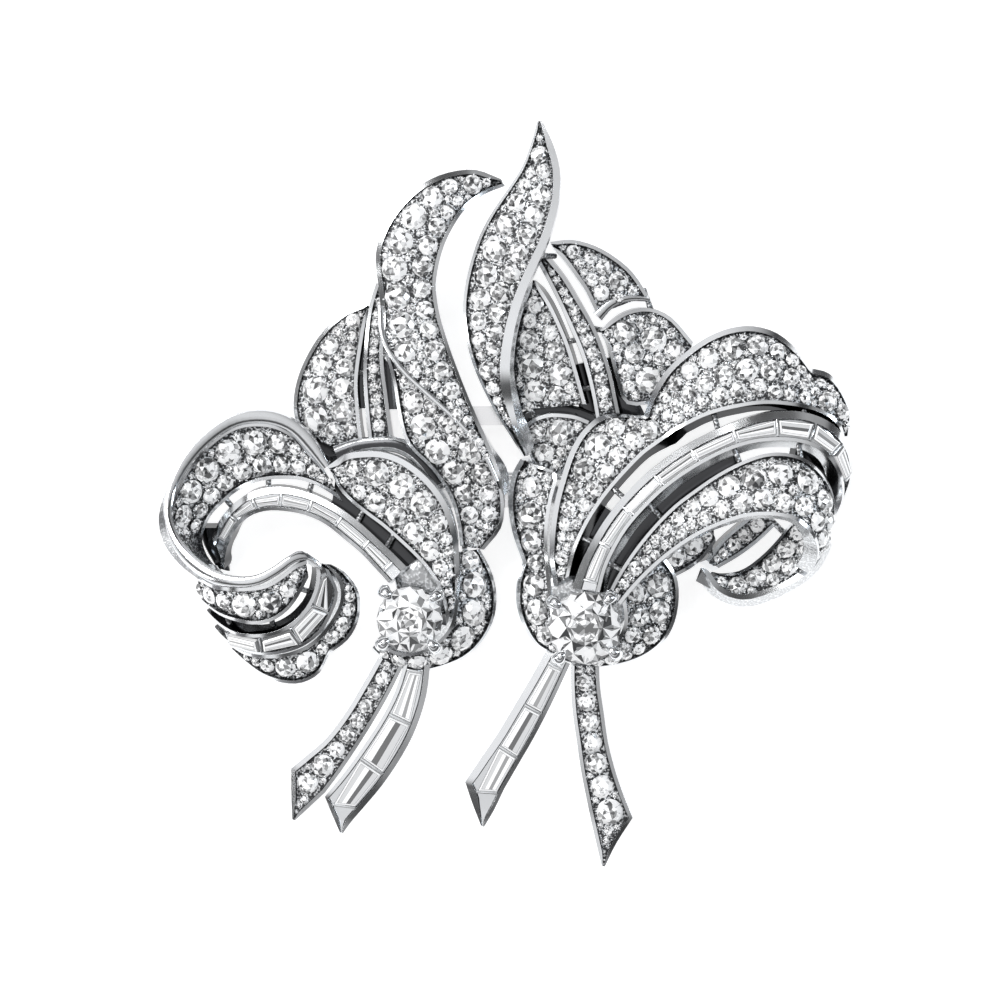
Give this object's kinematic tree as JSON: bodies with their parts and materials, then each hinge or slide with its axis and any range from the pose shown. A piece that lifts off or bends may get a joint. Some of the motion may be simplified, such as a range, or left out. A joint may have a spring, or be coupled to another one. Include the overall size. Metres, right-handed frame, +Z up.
{
  "type": "double clip brooch",
  "caption": "Double clip brooch of two mirrored scrolling ribbon clips in white metal, set with round and step-cut stones.",
  "frame": {"origin": "centre of the box around the brooch, at the flat underside of its fitting", "axes": "+Z up through the front of the brooch as it lies on its back, +Y towards the leaf's tip, +X towards the right clip"},
  "size_m": [0.065, 0.0702, 0.0121],
  "materials": {
    "platinum": "polished",
    "fitting_metal": "satin",
    "main_diamond": "faceted",
    "pave_diamond": "faceted",
    "baguette_diamond": "faceted"
  },
  "bodies": {
    "root": {"left_clip_frame": "platinum", "right_clip_frame": "platinum", "brooch_fitting": "fitting_metal", "left_main_stone": "main_diamond", "right_main_stone": "main_diamond", "left_plume_stones": "pave_diamond", "left_feather_stones": "pave_diamond", "left_fan_stones": "pave_diamond", "left_scroll_stones": "pave_diamond", "left_shell_stones": "pave_diamond", "left_curl_stones": "pave_diamond", "left_lobe_stones": "pave_diamond", "left_tail_stones": "pave_diamond", "right_leaf_stones": "pave_diamond", "right_fan_stones": "pave_diamond", "right_inner_stones": "pave_diamond", "right_scroll_stones": "pave_diamond", "right_low_scroll_stones": "pave_diamond", "right_column_stones": "pave_diamond", "right_lobe_stones": "pave_diamond", "right_tail_stones": "pave_diamond", "left_scroll_bar_1": "baguette_diamond", "left_scroll_bar_2": "baguette_diamond", "left_scroll_bar_3": "baguette_diamond", "left_scroll_bar_4": "baguette_diamond", "left_scroll_bar_5": "baguette_diamond", "left_scroll_bar_6": "baguette_diamond", "left_scroll_bar_7": "baguette_diamond", "left_curl_bar_1": "baguette_diamond", "left_curl_bar_2": "baguette_diamond", "left_curl_bar_3": "baguette_diamond", "left_curl_bar_4": "baguette_diamond", "left_tail_bar_1": "baguette_diamond", "left_tail_bar_2": "baguette_diamond", "left_tail_bar_3": "baguette_diamond", "right_scroll_bar_1": "baguette_diamond", "right_scroll_bar_2": "baguette_diamond", "right_scroll_bar_3": "baguette_diamond", "right_scroll_bar_4": "baguette_diamond", "right_scroll_bar_5": "baguette_diamond", "right_scroll_bar_6": "baguette_diamond", "right_scroll_bar_7": "baguette_diamond", "right_scroll_bar_8": "baguette_diamond", "right_scroll_bar_9": "baguette_diamond", "right_tail_bar_1": "baguette_diamond", "right_tail_bar_2": "baguette_diamond", "right_tail_bar_3": "baguette_diamond"}
  },
  "joints": []
}
